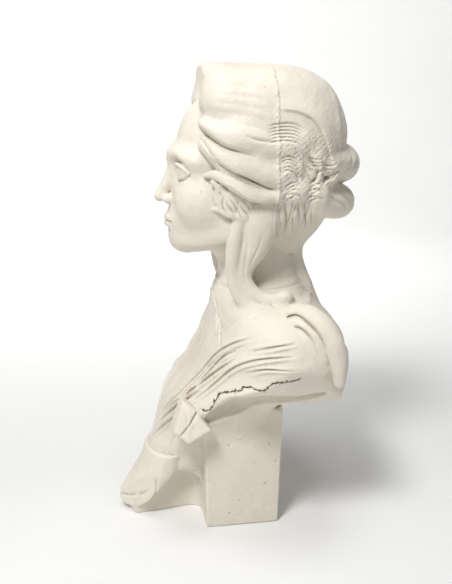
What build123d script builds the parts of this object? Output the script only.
"""Cast marble bust of a woman with swept-up hair, standing on a square post and a front foot.

Units are millimetres. +X is the figure's left, -Y its front and +Z is up. The origin is on the
floor, at the centre of the bust's bounding box. The casting is made of a front and a back half that
meet on one parting surface, with the free-hanging parts (locks, rolls, tab, curls) cast apart and
luted on. Every function below returns one such part, or one mass that parts are cut from.
"""

from build123d import *

import os

# Driving dimensions
HEIGHT = 400.0
HALF_SPAN = 108.0  # shoulder, left or right of the middle
WALL = 15.0  # casting thickness of head and torso
REACH = 300.0  # longer than anything that a prism has to cut

# Joint of the front and back castings
PARTING_Y = 30.0  # plane of the joint through head, neck and shoulders
SEAM_BEAD = 1.4  # how far the joint plaster stands proud
BEAD_WIDTH = 3.0

# Steel inside the casting
ROD_RADIUS = 5.0
ROD_Y = 12.0
ROD_BOTTOM, ROD_TOP = 40.0, 330.0
DOWEL_RADIUS = 4.0
DOWEL_X, DOWEL_Y = 32.0, 0.0
DOWEL_BOTTOM, DOWEL_TOP = 78.0, 128.0

# Post: half width, front and back at the floor and at its top
POST_HALF_WIDTH = 52.0
POST_BOTTOM = (-33.7, 31.7)
POST_TOP = (-35.3, 35.0)
POST_HEIGHT = 122.0
POST_EDGE = 3.0

# Ovals of the three main masses: height, half width, front y, back y
TORSO_LEVELS = [
    (50, 27, -85, -54),
    (72, 37, -78, -34),
    (98, 52, -69, 14),
    (116, 76, -63, 72),
    (138, 99, -49, 92),
    (163, HALF_SPAN, -34, 95),
    (186, 99, -25, 86),
    (203, 72, -20, 72),
    (214, 42, -18, 60),
]
NECK_LEVELS = [
    (192, 38, -20, 62),
    (212, 33, -18, 58),
    (234, 30, -20, 54),
    (262, 31, -28, 52),
]
HEAD_LEVELS = [
    (243, 17, -54, 14),
    (252, 30, -59, 44),
    (268, 43, -60, 66),
    (292, 53, -60, 82),
    (318, 59, -58, 93),
    (345, 61, -50, 98),
    (368, 55, -41, 92),
    (386, 42, -35, 76),
    (396, 26, -32, 54),
    (HEIGHT, 8, -30, 16),
]
TORSO_HOLLOW = (116, 203)  # heights between which the torso and the head are hollow
HEAD_HOLLOW = (268, 386)

# Front and back castings meet here, seen from the side (y, z), from above the head to the floor
PARTING_LINE = [
    (PARTING_Y, HEIGHT + 20),
    (PARTING_Y, 168),
    (8, 152),
    (-38, 119),
    (-58, 88),
    (-72, 48),
    (-78, -10),
]
# Edge of the hair, seen from the side (y, z)
HAIRLINE = [(-29, 380), (-30, 345), (-34, 318), (-27, 300), (-20, 280), (-8, 262), (-4, 235)]
# Bare skin inside the dress, seen from the front (x, z), lower on the figure's left
NECKLINE = [(-46, 240), (-44, 205), (8, 205), (20, 190), (32, 178), (44, 186), (58, 202), (58, 240)]
NECKLINE_BOTTOM = 150.0

# Tablet at the foot of the bust: its side outline (y, z) and the oval of its curved face
TABLET_OUTLINE = [(-50, 60), (-86, 56), (-106, 27), (-108, 15), (-100, 5), (-82, 9), (-62, 36)]
TABLET_HALF_WIDTH = 33.0
TABLET_MIDDLE = -58.0
TABLET_FRONT = -108.0
TABLET_EDGE = 2.0
# Foot under it: its side outline (y, z) and its half widths in front and behind
FOOT_OUTLINE = [(-34.5, 0), (-93, 0), (-92, 14), (-87, 30), (-58, 80), (-34.5, 84)]
FOOT_HALF_WIDTHS = (17.0, 8.0)
FOOT_FRONT, FOOT_BACK = -93.0, -30.0
FOOT_HEIGHT = 90.0

# Centre lines of the luted-on rolls and locks: x, y, z, radius
LOCK_PATH = [
    (47, 4, 290, 9),
    (46, 2, 268, 12),
    (43, -4, 247, 11),
    (41, -6, 228, 10),
    (44, 3, 210, 9),
    (52, 20, 203, 6),
]
NAPE_LOCK_PATH = [(0, 54, 258, 8), (0, 57, 238, 9), (0, 66, 214, 9), (0, 78, 194, 5)]
SHOULDER_ROLL_PATH = [
    (62, 23, 195, 6),
    (72, 38, 201, 10),
    (85, 53, 197, 12),
    (93, 62, 182, 12),
    (97, 67, 164, 7),
]
# Folded cloth ends that stand out of the lower edge of the torso
TAB_SIZE = (22, 30, 28)
TAB_CENTRE = (54, -47, 107)
TAB_TILT = 38.0

# Rounded parts: centre and half sizes
CHIGNON_UPPER = ((0, 88, 316), (34, 20, 19))
CHIGNON_LOWER = ((0, 82, 284), (38, 26, 16))
CHEST_LEAF = ((0, -59, 114), (17, 9, 22))
# Wedge of the nose: y, z, half width and half depth at its bridge, tip and base
NOSE_LEVELS = [(-56, 312, 4, 3), (-61, 290, 8, 9), (-59, 284, 7, 5)]


def oval(level, inset=0.0):
    """One horizontal oval of a mass, optionally drawn in by inset."""
    height, half_width, front, back = level
    centre = Plane((0, (front + back) / 2, height))
    return centre * Ellipse(half_width - inset, (back - front) / 2 - inset)


def mass(levels):
    """Solid lofted through a list of ovals."""
    return loft([oval(level) for level in levels])


def cavity(levels, hollow):
    """Hollow inside a mass between two heights, one wall thickness in."""
    low, high = hollow
    return loft([oval(level, WALL) for level in levels if low <= level[0] <= high])


def side_prism(outline, half_width=REACH):
    """Prism across the bust whose side view is a closed outline of (y, z) points."""
    face = Plane.YZ * make_face(Polyline(*outline, close=True))
    return extrude(face, half_width, both=True)


def front_prism(outline):
    """Prism from front to back whose front view is a closed outline of (x, z) points."""
    face = Plane.XZ * make_face(Polyline(*outline, close=True))
    return extrude(face, REACH, both=True)


def tube(path):
    """Solid lofted along a path of (x, y, z, radius) points."""
    points = [Vector(*station[:3]) for station in path]
    spine = Spline(*points)
    rings = []
    for index, station in enumerate(path):
        tangent = spine % (index / (len(path) - 1))
        rings.append(Plane(points[index], z_dir=tangent) * Circle(station[3]))
    return loft(rings)


def ellipsoid(centre, radii):
    """Ellipsoid with its axes along X, Y and Z."""
    return Pos(*centre) * scale(Sphere(1), by=radii)


def mirrored(part):
    """The same part on the figure's right."""
    return mirror(part, about=Plane.YZ)


def carve(part, *others):
    """What is left of a part once its neighbours have taken their room."""
    for other in others:
        part = part - other
    return part


def armature():
    """Steel bar that carries the head, cast into the post and the neck."""
    return Pos(0, ROD_Y, (ROD_BOTTOM + ROD_TOP) / 2) * Cylinder(ROD_RADIUS, ROD_TOP - ROD_BOTTOM)


def dowel(side):
    """Steel pin between the post and the torso."""
    middle = (DOWEL_BOTTOM + DOWEL_TOP) / 2
    return Pos(side * DOWEL_X, DOWEL_Y, middle) * Cylinder(DOWEL_RADIUS, DOWEL_TOP - DOWEL_BOTTOM)


def post():
    """Tapered square post that the bust stands on."""
    outlines = []
    for height, (front, back) in ((0, POST_BOTTOM), (POST_HEIGHT, POST_TOP)):
        centre = Plane((0, (front + back) / 2, height))
        outlines.append(centre * RectangleRounded(2 * POST_HALF_WIDTH, back - front, POST_EDGE))
    return loft(outlines)


def tablet():
    """Leaning blank tablet with a curved face, at the front of the bust."""
    block = side_prism(TABLET_OUTLINE, TABLET_HALF_WIDTH)
    rounded = fillet(block.edges().filter_by(Axis.X), TABLET_EDGE)
    curve = Plane((0, TABLET_MIDDLE, 0)) * Ellipse(TABLET_HALF_WIDTH, TABLET_MIDDLE - TABLET_FRONT)
    return rounded & extrude(curve, FOOT_HEIGHT)


def front_foot():
    """Web under the tablet that reaches the floor, wider in front."""
    wide, narrow = FOOT_HALF_WIDTHS
    corners = [(-wide, FOOT_FRONT), (wide, FOOT_FRONT), (narrow, FOOT_BACK), (-narrow, FOOT_BACK)]
    plan = Polyline(*corners, close=True)
    return extrude(make_face(plan), FOOT_HEIGHT) & side_prism(FOOT_OUTLINE)


def hem_tab():
    """Folded cloth end that stands out of the torso's lower edge."""
    return Pos(*TAB_CENTRE) * Rot(TAB_TILT, 0, 0) * Box(*TAB_SIZE)


def nose():
    """Plain wedge that holds the room of the nose."""
    rings = []
    for y, z, half_width, half_depth in NOSE_LEVELS:
        rings.append(Plane((0, y, z)) * Ellipse(half_width, half_depth))
    return loft(rings)


def joint_bead(head):
    """Ridge of joint plaster over the head, where its front and back castings meet."""
    above_jaw = HEAD_LEVELS[2:]
    swollen = loft([oval(level, -SEAM_BEAD) for level in above_jaw])
    strip = Pos(0, PARTING_Y, HEIGHT / 2) * Box(REACH, BEAD_WIDTH, HEIGHT)
    return carve(swollen & strip, head)


def bare_skin():
    """Room of the neck and breast that the dress leaves bare."""
    top = NECKLINE[0][1]
    window = [(PARTING_Y, NECKLINE_BOTTOM), (PARTING_Y, top), (-REACH, top), (-REACH, NECKLINE_BOTTOM)]
    return front_prism(NECKLINE) & side_prism(window)


def face_side():
    """Room in front of the hairline."""
    top, bottom = HAIRLINE[0][1], HAIRLINE[-1][1]
    return side_prism([*HAIRLINE, (-REACH, bottom), (-REACH, top)])


def front_side():
    """Room in front of the parting surface."""
    top, bottom = PARTING_LINE[0][1], PARTING_LINE[-1][1]
    return side_prism([*PARTING_LINE, (-REACH, bottom), (-REACH, top)])


def castings(steel):
    """The hollow front and back castings of the head, neck and torso, by name."""
    torso, neck, head = mass(TORSO_LEVELS), mass(NECK_LEVELS), mass(HEAD_LEVELS)
    front, skin = front_side(), bare_skin()
    left = Pos(REACH / 2, 0, 0) * Box(REACH, 2 * REACH, 4 * REACH)
    torso_shell = carve(torso, cavity(TORSO_LEVELS, TORSO_HOLLOW), *steel)
    head_shell = carve(head, cavity(HEAD_LEVELS, HEAD_HOLLOW), *steel)
    throat = carve(neck, torso, head, *steel)
    crown = carve(head_shell, face_side())
    return {
        "torso_back": torso_shell - front,
        "torso_front": (torso_shell & front) - skin,
        "neck_front": (throat & front) + (torso_shell & front & skin),
        "neck_back": throat - front,
        "face": (head_shell & face_side()) + carve(nose(), head),
        "hair_back": crown - front,
        "hair_front_left": crown & front & left,
        "hair_front_right": (crown & front) - left,
        "joint_bead": joint_bead(head),
    }


def luted_parts(steel):
    """The parts cast apart from the two halves, by name."""
    torso, neck, head = mass(TORSO_LEVELS), mass(NECK_LEVELS), mass(HEAD_LEVELS)
    knot = ellipsoid(*CHIGNON_UPPER)
    coil = carve(ellipsoid(*CHIGNON_LOWER), knot, head, neck)
    lock = carve(tube(LOCK_PATH), head, neck, torso)
    parts = {
        "chignon_upper": carve(knot, head),
        "chignon_lower": coil,
        "nape_lock": carve(tube(NAPE_LOCK_PATH), coil, head, neck, torso),
        "post": carve(post(), torso, *steel),
        "tablet": carve(tablet(), torso),
        "front_foot": carve(front_foot(), tablet(), torso, post()),
        "chest_leaf": carve(ellipsoid(*CHEST_LEAF), torso),
        "hem_tab": carve(hem_tab(), torso, post()),
    }
    pairs = {
        "side_lock": lock,
        "shoulder_roll": carve(tube(SHOULDER_ROLL_PATH), torso, lock),
    }
    for name, part in pairs.items():
        parts[name + "_left"] = part
        parts[name + "_right"] = mirrored(part)
    return parts


def build():
    """All parts of the bust, by name."""
    steel = {"armature_rod": armature(), "post_pin_left": dowel(1), "post_pin_right": dowel(-1)}
    return {**steel, **castings(steel.values()), **luted_parts(steel.values())}


os.makedirs("parts", exist_ok=True)
for name, part in build().items():
    export_step(part, f"parts/{name}.step")
